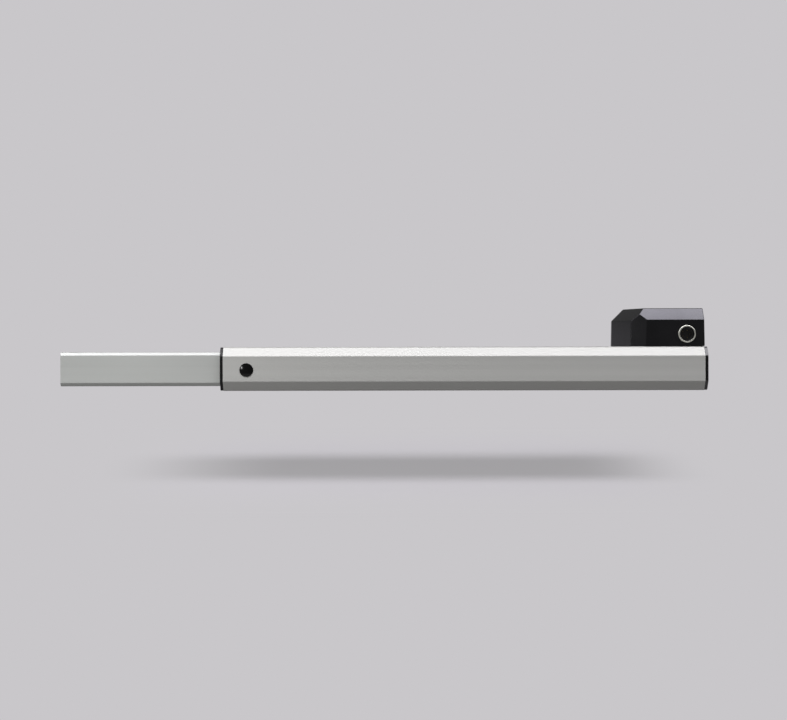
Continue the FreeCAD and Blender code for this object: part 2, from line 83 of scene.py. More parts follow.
# Threads
THREAD_INSET = 0.0008  # start of a thread inside the face
THREAD_SHORT = 0.001  # end of a thread before the floor of its hole
THREAD_SINK = 0.00005  # depth of a thread's root in its wall
TAPPED_HEIGHT, TAPPED_ROOT, TAPPED_CREST = 0.54, 0.96, 0.2  # height and widths, of the pitch
LEAD_ROOT, LEAD_CREST = 0.62, 0.38  # widths, of the pitch
LEAD_STARTS = 2  # ridges side by side on the lead screw
TAPPED_STEPS, LEAD_STEPS = 24, 32  # steps in one turn

# Power socket
CONTACT_DEPTH = 0.002  # depth of a contact's hole
CONTACT_MIDDLE = 0.0009  # depth of a contact sleeve's middle
CONTACT_INSET = 0.0001  # from a contact's hole to the middle of its sleeve's wall
LINING_GAP = 0.00002  # between the lining and the ring's mouth
LINING_RECESS = 0.0002  # from the ring's face to the lining
LINING_FLOOR = 0.00004  # thickness of the lining's floor in front of the insert
LINING_SINK = 0.00002  # depth of that floor in the insert
LINING_LAP = 0.0001  # width of that floor over the insert's rim
LINING_EDGE = 0.00002  # rounding on the lining's edges

# Lead screw
SPACER_WALL = 0.0025  # from the screw's journal to the outside of the bearing's spacer
SCREW_CHAMFER = 0.0006
SCREW_LAND = 0.006  # plain length in front of the bearing
SCREW_RUN_OUT = 0.002  # from each end of the thread to a shoulder
SCREW_EDGE = 0.00015  # rounding on the screw's shoulders

# Studio; three numbers are the middle, the half width and the soft margin of a window
FLOOR_RADIUS = 12.0
SHADOW_FRONT, SHADOW_REAR = (-0.66, -0.43), (0.04, -0.12)  # along X, from no shadow to all of it
SHADOW_DEPTH = (0.065, 0.11, 0.05)  # along Y
CEILING_ACROSS = (0.0, 1.9, 0.5)  # along X, for a ceiling at a height of 1
CEILING_DEPTH = (-0.59, 0.184, 0.1)  # along Y, for the same ceiling
CEILING_RISE = (0.05, 0.2)  # by the direction's Z, from none of the ceiling to all of it
CEILING_COLOUR = (1.0, 0.985, 1.04, 1.0)
BACKDROP_ACROSS = (0.0, 0.6, 0.25)  # by the direction's X
BACKDROP_TOP = (0.2, 0.55)  # by the direction's Z, from all of the backdrop to none
BACKDROP_BACK = (-0.3, 0.45)  # by the direction's Y, from none of the backdrop to all of it
FILL_COLOUR = (1.0, 1.0, 0.985, 1.0)
FILL_LEFT, FILL_RIGHT, FILL_FAR_LEFT = 1.5, 0.5, 0.7  # shares of the front fill
SIDE_LAMP_SIZE = (0.3, 0.5)
SPARK_LAMP_SIZE = (0.036, 0.07)


# Values that a user may change

class ActuatorSizes(PropertyGroup):
    """Sizes of the details that the solids leave plain."""

    cut_edge: FloatProperty(
        name="Cut edge", description="Rounding on the cut ends of the two tubes",
        default=0.0002, min=0.0, unit="LENGTH")
    moulded_edge: FloatProperty(
        name="Moulded edge", description="Rounding on the edges of the black mouldings",
        default=0.00012, min=0.0, unit="LENGTH")
    cast_edge: FloatProperty(
        name="Cast edge", description="Rounding on the edges of the aluminium castings",
        default=0.0004, min=0.0, unit="LENGTH")
    tapped_radius: FloatProperty(
        name="Tapped hole", description="Radius at the root of the thread in a tapped hole",
        default=0.003, min=0.0, unit="LENGTH")
    tapped_pitch: FloatProperty(
        name="Tapped pitch", description="Pitch of the thread in a tapped hole",
        default=0.001, min=0.0001, unit="LENGTH")
    lead_pitch: FloatProperty(
        name="Lead screw pitch", description="Distance between the lead screw's ridges",
        default=0.003, min=0.0005, unit="LENGTH")
    lead_depth: FloatProperty(
        name="Lead screw depth", description="Height of the lead screw's ridges",
        default=0.0016, min=0.0, unit="LENGTH")
    socket_bore: FloatProperty(
        name="Socket bore", description="Radius of the bore that takes the plug",
        default=0.0072, min=0.0, unit="LENGTH")
    socket_mouth: FloatProperty(
        name="Socket mouth", description="Radius of the opening in the socket's ring",
        default=0.0075, min=0.0, unit="LENGTH")
    ring_lip: FloatProperty(
        name="Ring lip", description="Rounding on the outer edge of the socket's ring",
        default=0.0008, min=0.0, unit="LENGTH")
    socket_barrel: FloatProperty(
        name="Socket barrel", description="Radius of the socket's barrel inside the cover's wall",
        default=0.008, min=0.0, unit="LENGTH")
    contacts: IntProperty(
        name="Contacts", description="Contact sleeves in the power socket", default=5, min=1)
    contact_circle: FloatProperty(
        name="Contact circle", description="Radius of the circle that the contacts stand on",
        default=0.0038, min=0.0, unit="LENGTH")
    contact_radius: FloatProperty(
        name="Contact radius", description="Radius of the hole that takes one contact sleeve",
        default=0.0006, min=0.0, unit="LENGTH")


class ActuatorFinishes(PropertyGroup):
    """Colours of the finishes."""

    column: FloatVectorProperty(
        name="Column", description="Colour of the column's anodised skin",
        subtype="COLOR", size=3, min=0.0, max=1.0, default=(0.503, 0.506, 0.477))
    ram: FloatVectorProperty(
        name="Ram", description="Colour of the ram's anodised skin",
        subtype="COLOR", size=3, min=0.0, max=1.0, default=(0.48, 0.494, 0.468))
    black: FloatVectorProperty(
        name="Black plastic", description="Colour of the cover, caps and pegs",
        subtype="COLOR", size=3, min=0.0, max=1.0, default=(0.004, 0.004, 0.0042))
    nickel: FloatVectorProperty(
        name="Nickel", description="Colour of the socket's ring",
        subtype="COLOR", size=3, min=0.0, max=1.0, default=(0.72, 0.725, 0.645))
    cast: FloatVectorProperty(
        name="Cast aluminium", description="Colour of the block, the plate and the ram's plug",
        subtype="COLOR", size=3, min=0.0, max=1.0, default=(0.55, 0.55, 0.54))
    steel: FloatVectorProperty(
        name="Steel", description="Colour of the screws, the shafts and the bearing",
        subtype="COLOR", size=3, min=0.0, max=1.0, default=(0.52, 0.52, 0.53))
    brass: FloatVectorProperty(
        name="Brass", description="Colour of the nut and the pinion",
        subtype="COLOR", size=3, min=0.0, max=1.0, default=(0.72, 0.52, 0.22))
    acetal: FloatVectorProperty(
        name="Acetal", description="Colour of the pale gears and slide blocks",
        subtype="COLOR", size=3, min=0.0, max=1.0, default=(0.74, 0.72, 0.66))


class ActuatorStudio(PropertyGroup):
    """Camera, floor and light."""

    background: FloatVectorProperty(
        name="Background", description="Colour of the floor and the backdrop",
        subtype="COLOR", size=3, min=0.0, max=1.0, default=(0.584, 0.571, 0.591))
    floor_drop: FloatProperty(
        name="Floor drop", description="Height of the lead screw's axis over the floor",
        default=0.1225, min=0.0, unit="LENGTH")
    floor_slope: FloatProperty(
        name="Floor slope", description="Rise of the floor towards the back",
        default=math.radians(11.5), unit="ROTATION")
    floor_tone: FloatProperty(
        name="Floor tone", description="Brightness of the floor near the object, as it is seen",
        default=0.82, min=0.0, max=1.5, subtype="FACTOR")
    shadow_strength: FloatProperty(
        name="Shadow strength", description="Share of the object's shadow that the floor shows under it",
        default=0.45, min=0.0, max=1.0, subtype="FACTOR")
    bounce_tone: FloatProperty(
        name="Bounce tone", description="Brightness of the floor near the object, as it lights the object",
        default=0.09, min=0.0, max=1.5, subtype="FACTOR")
    camera_place: FloatVectorProperty(
        name="Camera", description="Place of the camera",
        subtype="XYZ", size=3, unit="LENGTH", default=(-0.3223, -1.3035, 0.009))
    camera_roll: FloatProperty(
        name="Camera roll", description="Turn of the camera about its line of sight",
        default=math.radians(0.105), unit="ROTATION")
    focal_length: FloatProperty(
        name="Focal length", description="Focal length of the lens in millimetres",
        default=56.4, min=1.0)
    box_light: FloatProperty(
        name="Ceiling light", description="Brightness of the long light over the front", default=8.0)
    side_lamp: FloatProperty(
        name="Side lamp", description="Power of the soft lamp off the front end",
        default=2.2, min=0.0, unit="POWER")
    side_lamp_place: FloatVectorProperty(
        name="Side lamp place", description="Place of the soft lamp off the front end",
        subtype="XYZ", size=3, unit="LENGTH", default=(-1.15, -0.55, 0.45))
    spark_lamp: FloatProperty(
        name="Spark lamp", description="Power of the small lamp that shows in the pegs",
        default=0.17, min=0.0, unit="POWER")
    spark_lamp_place: FloatVectorProperty(
        name="Spark lamp place", description="Place of the small lamp that shows in the pegs",
        subtype="XYZ", size=3, unit="LENGTH", default=(-0.69, -0.6, 0.068))
    front_light: FloatProperty(
        name="Front fill", description="Brightness of the room in front of the object", default=0.19)
    back_light: FloatProperty(
        name="Back fill", description="Brightness of the backdrop behind the object", default=0.58)


# Node trees

def node(tree, kind, inputs=None, **settings):
    """Add a node with its settings, and set or link its inputs."""
    made = tree.nodes.new(kind)
    for key, value in settings.items():
        setattr(made, key, value)
    for key, value in (inputs or {}).items():
        if isinstance(value, bpy.types.NodeSocket):
            tree.links.new(value, made.inputs[key])
        else:
            made.inputs[key].default_value = value
    return made


def maths(tree, operation, first, second=0.0, third=0.0):
    """Result of a Math node."""
    sockets = {0: first, 1: second, 2: third}
    return node(tree, "ShaderNodeMath", sockets, operation=operation).outputs[0]


def remap(tree, value, low, high, to_low=0.0, to_high=1.0, smooth=False):
    """Value moved from one range to another, held at its ends."""
    sockets = {"Value": value, "From Min": low, "From Max": high, "To Min": to_low, "To Max": to_high}
    kind = "SMOOTHSTEP" if smooth else "LINEAR"
    return node(tree, "ShaderNodeMapRange", sockets, interpolation_type=kind).outputs["Result"]


def spread(tree, noise, to_low=0.0, to_high=1.0):
    """Noise stretched from where most of its values lie to a range of its own."""
    return remap(tree, noise, *NOISE_RANGE, to_low, to_high)


def window(tree, value, middle, half, soft):
    """1 about the middle, fading to 0 in a soft margin on either side of the half width."""
    away = maths(tree, "ABSOLUTE", maths(tree, "SUBTRACT", value, middle))
    return remap(tree, away, half - soft, half + soft, 1.0, 0.0, smooth=True)


def blend_colour(tree, share, first, second):
    """Mix of two colours, which a Mix node takes in sockets 6 and 7 and gives in socket 2."""
    mixed = node(tree, "ShaderNodeMix", {0: share, 6: first, 7: second}, data_type="RGBA")
    return mixed.outputs[2]


def rgba(colour, scale=1.0):
    """Colour times a scale, with its fourth channel."""
    return tuple(min(1.0, channel * scale) for channel in colour) + (1.0,)


def group_tree(name, kind, inputs, outputs):
    """New node group with named sockets; gives the tree, its inputs and its outputs."""
    tree = bpy.data.node_groups.new(name, kind)
    for label, socket_kind, default in inputs:
        socket = tree.interface.new_socket(label, in_out="INPUT", socket_type=socket_kind)
        if default is not None:
            socket.default_value = default
    for label, socket_kind in outputs:
        tree.interface.new_socket(label, in_out="OUTPUT", socket_type=socket_kind)
    entry = tree.nodes.new("NodeGroupInput")
    leave = tree.nodes.new("NodeGroupOutput")
    return tree, entry.outputs, leave.inputs


def drawn_grain():
    """Fine lines that a die leaves along X on an extrusion."""
    name = "Drawn Grain"
    if name in bpy.data.node_groups:
        return bpy.data.node_groups[name]
    inputs = [("Line Density", "NodeSocketFloat", 1300.0), ("Band Density", "NodeSocketFloat", 120.0)]
    tree, entry, leave = group_tree(name, "ShaderNodeTree", inputs,
                                    [("Lines", "NodeSocketFloat"), ("Bands", "NodeSocketFloat")])
    place = node(tree, "ShaderNodeTexCoord").outputs["Object"]
    kinds = (("Lines", "Line Density", 2.0, 3.0), ("Bands", "Band Density", 0.2, 2.0))
    for label, density, run, detail in kinds:
        scale = {0: run, 1: entry[density], 2: entry[density]}
        across = node(tree, "ShaderNodeCombineXYZ", scale).outputs[0]
        drawn = node(tree, "ShaderNodeVectorMath", {0: place, 1: across}, operation="MULTIPLY").outputs[0]
        grain = node(tree, "ShaderNodeTexNoise", {"Vector": drawn, "Scale": 1.0, "Detail": detail})
        tree.links.new(grain.outputs["Fac"], leave[label])
    return tree


def moulded_grain():
    """Fine spark-eroded texture of a moulding, with a broad unevenness under it."""
    name = "Moulded Grain"
    if name in bpy.data.node_groups:
        return bpy.data.node_groups[name]
    inputs = [("Grain Density", "NodeSocketFloat", 1800.0), ("Patch Density", "NodeSocketFloat", 45.0)]
    tree, entry, leave = group_tree(name, "ShaderNodeTree", inputs,
                                    [("Grain", "NodeSocketFloat"), ("Patches", "NodeSocketFloat")])
    place = node(tree, "ShaderNodeTexCoord").outputs["Object"]
    grain = node(tree, "ShaderNodeTexNoise",
                 {"Vector": place, "Scale": entry["Grain Density"], "Detail": 2.0})
    patches = node(tree, "ShaderNodeTexNoise",
                   {"Vector": place, "Scale": entry["Patch Density"], "Detail": 3.0})
    tree.links.new(grain.outputs["Fac"], leave["Grain"])
    tree.links.new(patches.outputs["Fac"], leave["Patches"])
    return tree


def turned_rings():
    """Fine rings that a lathe leaves, round the X axis of the vector that comes in."""
    name = "Turned Rings"
    if name in bpy.data.node_groups:
        return bpy.data.node_groups[name]
    inputs = [("Vector", "NodeSocketVector", None), ("Ring Density", "NodeSocketFloat", 4000.0)]
    tree, entry, leave = group_tree(name, "ShaderNodeTree", inputs, [("Rings", "NodeSocketFloat")])
    parts = node(tree, "ShaderNodeSeparateXYZ", {0: entry["Vector"]}).outputs
    flat = node(tree, "ShaderNodeCombineXYZ", {1: parts[1], 2: parts[2]}).outputs[0]
    reach = node(tree, "ShaderNodeVectorMath", {0: flat}, operation="LENGTH").outputs["Value"]
    count = maths(tree, "MULTIPLY", maths(tree, "ADD", reach, parts[0]), entry["Ring Density"])
    rings = node(tree, "ShaderNodeTexNoise", {"W": count, "Scale": 1.0, "Detail": 2.0},
                 noise_dimensions="1D")
    tree.links.new(rings.outputs["Fac"], leave["Rings"])
    return tree


def edge_wear():
    """Mask of outward edges, broken up so that it looks handled."""
    name = "Edge Wear"
    if name in bpy.data.node_groups:
        return bpy.data.node_groups[name]
    inputs = [("Reach", "NodeSocketFloat", 0.0006), ("Break Up", "NodeSocketFloat", 300.0)]
    tree, entry, leave = group_tree(name, "ShaderNodeTree", inputs, [("Wear", "NodeSocketFloat")])
    rounded = node(tree, "ShaderNodeBevel", {"Radius": entry["Reach"]}, samples=6).outputs[0]
    facing = node(tree, "ShaderNodeNewGeometry").outputs["Normal"]
    same = node(tree, "ShaderNodeVectorMath", {0: rounded, 1: facing}, operation="DOT_PRODUCT")
    place = node(tree, "ShaderNodeTexCoord").outputs["Object"]
    rubbed = node(tree, "ShaderNodeTexNoise", {"Vector": place, "Scale": entry["Break Up"], "Detail": 3.0})
    edge = remap(tree, same.outputs["Value"], 0.995, 0.93)
    broken = remap(tree, rubbed.outputs["Fac"], 0.35, 0.65)
    tree.links.new(maths(tree, "MULTIPLY", edge, broken), leave["Wear"])
    return tree


def placed(tree, group, **values):
    """Node that places a shader group in a material."""
    inputs = {key.replace("_", " "): value for key, value in values.items()}
    return node(tree, "ShaderNodeGroup", inputs, node_tree=group)


# Finishes

def new_finish(name, **sockets):
    """Material with one Principled shader and its constant values."""
    finish = bpy.data.materials.new(name)
    finish.use_nodes = True
    tree = finish.node_tree
    shader = tree.nodes["Principled BSDF"]
    for key, value in sockets.items():
        shader.inputs[key.replace("_", " ")].default_value = value
    return finish, tree, shader


def bump(tree, shader, height, depth):
    """Raise a shader's surface by a height from 0 to 1, times a depth."""
    raised = node(tree, "ShaderNodeBump", {"Height": height, "Distance": depth, "Strength": 1.0})
    tree.links.new(raised.outputs[0], shader.inputs["Normal"])


def anodised_finish(name, colour, line_density, band_density, smooth, dull):
    """Satin anodised extrusion, with bare saw-cut ends."""
    finish, tree, shader = new_finish(name, Metallic=0.26, IOR=1.5)
    grain = placed(tree, drawn_grain(), Line_Density=line_density, Band_Density=band_density).outputs
    worn = placed(tree, edge_wear(), Reach=0.0005, Break_Up=260.0).outputs["Wear"]
    coords = node(tree, "ShaderNodeTexCoord").outputs
    ends = node(tree, "ShaderNodeSeparateXYZ", {0: coords["Normal"]}).outputs[0]
    cut = remap(tree, maths(tree, "ABSOLUTE", ends), 0.85, 0.97)
    saw = node(tree, "ShaderNodeMapping",
               {"Vector": coords["Object"], "Scale": (1.0, 60.0, 2600.0)}).outputs[0]
    marks = node(tree, "ShaderNodeTexNoise", {"Vector": saw, "Scale": 1.0, "Detail": 2.0}).outputs["Fac"]
    satin = blend_colour(tree, spread(tree, grain["Bands"]), rgba(colour, 0.955), rgba(colour, 1.035))
    satin = blend_colour(tree, spread(tree, grain["Lines"], 0.0, 0.35), satin, rgba(colour, 0.93))
    bare = blend_colour(tree, marks, rgba((0.62, 0.62, 0.61)), rgba((0.78, 0.78, 0.77)))
    shown = blend_colour(tree, maths(tree, "MULTIPLY", worn, 0.25), satin, rgba(colour, 1.25))
    tree.links.new(blend_colour(tree, cut, shown, bare), shader.inputs["Base Color"])
    drawn = spread(tree, grain["Bands"], smooth, dull)
    sawn = spread(tree, marks, 0.24, 0.36)
    tree.links.new(remap(tree, cut, 0.0, 1.0, drawn, sawn), shader.inputs["Roughness"])
    lines = maths(tree, "MULTIPLY", grain["Lines"], 0.2)
    bump(tree, shader, remap(tree, cut, 0.0, 1.0, lines, marks), 0.00002)
    return finish


def black_finish(name, colour, grain_density, smooth, dull, depth, **sockets):
    """Black moulding: satin, finely textured, a little polished along its edges."""
    finish, tree, shader = new_finish(name, Metallic=0.0, IOR=1.5, **sockets)
    grain = placed(tree, moulded_grain(), Grain_Density=grain_density).outputs
    worn = placed(tree, edge_wear(), Reach=0.0006, Break_Up=220.0).outputs["Wear"]
    tone = blend_colour(tree, spread(tree, grain["Patches"]), rgba(colour, 0.8), rgba(colour, 1.25))
    handled = maths(tree, "MULTIPLY", worn, 0.5)
    tree.links.new(blend_colour(tree, handled, tone, rgba(colour, 3.0)), shader.inputs["Base Color"])
    satin = spread(tree, grain["Patches"], smooth, dull)
    speckle = spread(tree, grain["Grain"], -0.02, 0.02)
    rough = maths(tree, "ADD", satin, speckle)
    rough = maths(tree, "SUBTRACT", rough, maths(tree, "MULTIPLY", worn, 0.04))
    tree.links.new(rough, shader.inputs["Roughness"])
    bump(tree, shader, grain["Grain"], depth)
    return finish


def turned_finish(name, colour, centre, turn, smooth, dull, density=4000.0):
    """Turned metal, with lathe rings round an axis through the centre."""
    finish, tree, shader = new_finish(name, Metallic=1.0)
    coords = node(tree, "ShaderNodeTexCoord").outputs["Object"]
    centred = node(tree, "ShaderNodeVectorMath", {0: coords, 1: centre}, operation="SUBTRACT").outputs[0]
    along = node(tree, "ShaderNodeMapping", {"Vector": centred, "Rotation": turn}).outputs[0]
    rings = placed(tree, turned_rings(), Vector=along, Ring_Density=density).outputs["Rings"]
    patches = placed(tree, moulded_grain(), Patch_Density=160.0).outputs["Patches"]
    tone = blend_colour(tree, spread(tree, rings), rgba(colour, 0.9), rgba(colour, 1.06))
    tree.links.new(tone, shader.inputs["Base Color"])
    tree.links.new(spread(tree, patches, smooth, dull), shader.inputs["Roughness"])
    bump(tree, shader, rings, 0.000008)
    return finish


def cast_finish(name, colour, smooth, dull, depth, metallic=1.0, density=900.0):
    """Cast or pressed surface: fine grain with a broad unevenness of tone."""
    finish, tree, shader = new_finish(name, Metallic=metallic)
    grain = placed(tree, moulded_grain(), Grain_Density=density, Patch_Density=70.0).outputs
    worn = placed(tree, edge_wear(), Reach=0.0006, Break_Up=300.0).outputs["Wear"]
    tone = blend_colour(tree, spread(tree, grain["Patches"]), rgba(colour, 0.88), rgba(colour, 1.08))
    shown = blend_colour(tree, maths(tree, "MULTIPLY", worn, 0.5), tone, rgba(colour, 1.3))
    tree.links.new(shown, shader.inputs["Base Color"])
    tree.links.new(spread(tree, grain["Grain"], smooth, dull), shader.inputs["Roughness"])
    bump(tree, shader, grain["Grain"], depth)
    return finish


def board_finish(name):
    """Green board with copper runs under its lacquer."""
    finish, tree, shader = new_finish(name, Metallic=0.0, Coat_Weight=0.4, Coat_Roughness=0.15)
    coords = node(tree, "ShaderNodeTexCoord").outputs["Object"]
    upright = node(tree, "ShaderNodeMapping",
                   {"Vector": coords, "Rotation": (0.0, math.radians(90), 0.0)}).outputs[0]
    runs = node(tree, "ShaderNodeTexBrick",
                {"Vector": upright, "Scale": 130.0, "Mortar Size": 0.08, "Bias": 0.0,
                 "Color1": (0.012, 0.10, 0.035, 1), "Color2": (0.015, 0.13, 0.045, 1),
                 "Mortar": (0.04, 0.22, 0.08, 1)})
    tree.links.new(runs.outputs["Color"], shader.inputs["Base Color"])
    tree.links.new(remap(tree, runs.outputs["Fac"], 0.0, 1.0, 0.38, 0.28), shader.inputs["Roughness"])
    bump(tree, shader, runs.outputs["Fac"], 0.00003)
    return finish


MADE_FINISHES = {}


def finish_for(slot):
    """The finish of one material slot, made when it is first asked for."""
    if slot not in MADE_FINISHES:
        MADE_FINISHES[slot] = make_finish(slot)
    return MADE_FINISHES[slot]


def make_finish(slot):
    """New finish for a slot, from the kind of finish and its values."""
    colours = bpy.context.scene.actuator_finishes
    low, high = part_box("socket_shell")
    on_screw = dict(centre=(0, 0, 0), turn=(0.0, 0.0, 0.0))
    on_socket = dict(centre=(low + high) / 2, turn=(0.0, 0.0, math.radians(90)))
    kinds = {
        "column_aluminium": (anodised_finish, dict(
            colour=colours.column, line_density=1300.0, band_density=120.0, smooth=0.395, dull=0.465)),
        "ram_aluminium": (anodised_finish, dict(
            colour=colours.ram, line_density=1500.0, band_density=150.0, smooth=0.38, dull=0.45)),
        "black_plastic": (black_finish, dict(
            colour=colours.black, grain_density=1800.0, smooth=0.12, dull=0.17, depth=0.000002)),
        "collar_plastic": (black_finish, dict(
            colour=colours.black, grain_density=1800.0, smooth=0.28, dull=0.34, depth=0.000002,
            Specular_IOR_Level=0.2)),
        "peg_plastic": (black_finish, dict(
            colour=[channel / 2 for channel in colours.black], grain_density=1800.0,
            smooth=0.07, dull=0.10, depth=0.000001, Specular_IOR_Level=0.25)),
        "cover_plastic": (black_finish, dict(
            colour=colours.black, grain_density=1500.0, smooth=0.15, dull=0.20, depth=0.000002,
            Specular_IOR_Level=0.54, Specular_Tint=(0.94, 0.93, 1.0, 1.0))),
        "socket_plastic": (black_finish, dict(
            colour=colours.black, grain_density=1400.0, smooth=0.40, dull=0.48, depth=0.000004)),
        "black_rubber": (black_finish, dict(
            colour=colours.black, grain_density=900.0, smooth=0.55, dull=0.68, depth=0.00003)),
        "motor_plastic": (black_finish, dict(
            colour=(0.02, 0.02, 0.021), grain_density=1400.0, smooth=0.38, dull=0.46, depth=0.00002)),
        "cast_aluminium": (cast_finish, dict(colour=colours.cast, smooth=0.42, dull=0.55, depth=0.00005)),
        "gear_plastic": (cast_finish, dict(
            colour=colours.acetal, smooth=0.36, dull=0.46, depth=0.00001, metallic=0.0, density=1600.0)),
        "motor_metal": (cast_finish, dict(
            colour=(0.32, 0.32, 0.33), smooth=0.3, dull=0.4, depth=0.00001, density=1400.0)),
        "magnet": (cast_finish, dict(
            colour=(0.22, 0.22, 0.23), smooth=0.2, dull=0.3, depth=0.000006, density=1500.0)),
        "steel": (turned_finish, dict(colour=colours.steel, smooth=0.24, dull=0.34, **on_screw)),
        "bearing_steel": (turned_finish, dict(colour=colours.steel, smooth=0.12, dull=0.2, **on_screw)),
        "brass": (turned_finish, dict(colour=colours.brass, smooth=0.22, dull=0.32, **on_screw)),
        "socket_metal": (turned_finish, dict(
            colour=colours.nickel, smooth=0.32, dull=0.38, density=3000.0, **on_socket)),
        "contact_gold": (turned_finish, dict(
            colour=(0.42, 0.31, 0.15), smooth=0.3, dull=0.4, **on_socket)),
        "circuit_board": (board_finish, {}),
    }
    kind, values = kinds[slot]
    return kind(slot, **values)


# Meshes

def add_piece(name, mesh):
    """New object at the origin with a mesh."""
    piece = bpy.data.objects.new(name, mesh)
    bpy.context.scene.collection.objects.link(piece)
    return piece


def piece_from(form, name):
    """New object with the mesh that was built in a form."""
    mesh = bpy.data.meshes.new(name)
    form.to_mesh(mesh)
    form.free()
    return add_piece(name, mesh)


def settle(piece):
    """Turn a piece and its modifiers into a plain mesh."""
    bpy.context.view_layer.update()
    shaped = piece.evaluated_get(bpy.context.evaluated_depsgraph_get())
    mesh = bpy.data.meshes.new_from_object(shaped)
    mesh.name = piece.name
    piece.modifiers.clear()
    piece.data = mesh
    return piece


def show(piece, body, slot, *nodes, finish=None):
    """Give a finished piece its finish and its body, and hide the nodes that it stands for."""
    piece.data.materials.clear()
    piece.data.materials.append(finish_for(finish or slot))
    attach(piece, body)
    if nodes:
        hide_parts(*nodes)
    return piece


def plain_copy(node_name, piece_name):
    """Copy of a node, merged into one skin with its flat faces whole."""
    source = frame["nodes"][node_name].data
    mesh = bpy.data.meshes.new(piece_name)
    mesh.from_pydata([v.co[:] for v in source.vertices], [], [p.vertices[:] for p in source.polygons])
    form = bmesh.new()
    form.from_mesh(mesh)
    bmesh.ops.remove_doubles(form, verts=form.verts, dist=MERGE)
    bmesh.ops.dissolve_limit(form, angle_limit=FLAT, verts=form.verts, edges=form.edges)
    form.to_mesh(mesh)
    form.free()
    return add_piece(piece_name, mesh)


def soften(piece, edge, segments=2, limit=28.0):
    """Round a piece's sharp edges, and shade its large faces flat up to them."""
    bevel = piece.modifiers.new("Rounded edges", "BEVEL")
    bevel.width = edge
    bevel.segments = segments
    bevel.limit_method = "ANGLE"
    bevel.angle_limit = math.radians(limit)
    bevel.miter_outer = "MITER_ARC"
    bevel.use_clamp_overlap = True
    piece.data.polygons.foreach_set("use_smooth", [True] * len(piece.data.polygons))
    weights = piece.modifiers.new("Flat faces", "WEIGHTED_NORMAL")
    weights.mode = "FACE_AREA"
    weights.weight = 100
    weights.keep_sharp = False
    return settle(piece)


def bore(piece, ends, radius, sides=40):
    """Drill round holes, each between two points."""
    form = bmesh.new()
    for first, second in ends:
        along = Vector(second) - Vector(first)
        turn = along.to_track_quat("Z", "Y").to_matrix().to_4x4()
        place = Matrix.Translation(Vector(first) + along / 2) @ turn
        bmesh.ops.create_cone(form, cap_ends=True, segments=sides, radius1=radius, radius2=radius,
                              depth=along.length, matrix=place)
    drill = piece_from(form, piece.name + "_drill")
    cut = piece.modifiers.new("Holes", "BOOLEAN")
    cut.object = drill
    cut.solver = "EXACT"
    settle(piece)
    bpy.data.objects.remove(drill)
    return piece


def circle_angles(count):
    """Angles of points that stand evenly on a circle."""
    return [FULL_TURN * index / count for index in range(count)]


def join_loops(form, pairs):
    """Faces between the two loops of points of each pair."""
    for first, second in pairs:
        for index in range(len(first)):
            after = (index + 1) % len(first)
            form.faces.new((first[index], first[after], second[after], second[index]))


def turned(name, outline, sides=64):
    """Solid turned round the X axis from points (x, radius)."""
    form = bmesh.new()
    angles = circle_angles(sides)
    loops = [[form.verts.new((x, radius * math.cos(a), radius * math.sin(a))) for a in angles]
             for x, radius in outline]
    join_loops(form, zip(loops, loops[1:]))
    form.faces.new(loops[0])
    form.faces.new(loops[-1])
    bmesh.ops.recalc_face_normals(form, faces=form.faces)
    return piece_from(form, name)


def sleeve(name, centre, outline, sides=96):
    """Sleeve turned round a line along Y, from a closed outline of points (radius, y)."""
    form = bmesh.new()
    angles = circle_angles(sides)
    loops = [[form.verts.new((centre.x + radius * math.cos(a), y, centre.z + radius * math.sin(a)))
              for a in angles] for radius, y in outline]
    join_loops(form, zip(loops, loops[1:] + loops[:1]))
    bmesh.ops.recalc_face_normals(form, faces=form.faces)
    return piece_from(form, name)


def points(name, places):
    """Piece of loose points that a node tree builds on."""
    mesh = bpy.data.meshes.new(name)
    mesh.from_pydata([tuple(place) for place in places], [], [])
    return add_piece(name, mesh)


# Geometry node trees for what repeats

def dress_copies(tree, entry, shape, leave):
    """Put out a copy of a shape at each point, made real and with its material."""
    copies = node(tree, "GeometryNodeInstanceOnPoints", {"Points": entry["Points"], "Instance": shape})
    real = node(tree, "GeometryNodeRealizeInstances", {0: copies.outputs[0]})
    dressed = node(tree, "GeometryNodeSetMaterial",
                   {"Geometry": real.outputs[0], "Material": entry["Material"]})
    tree.links.new(dressed.outputs[0], leave)


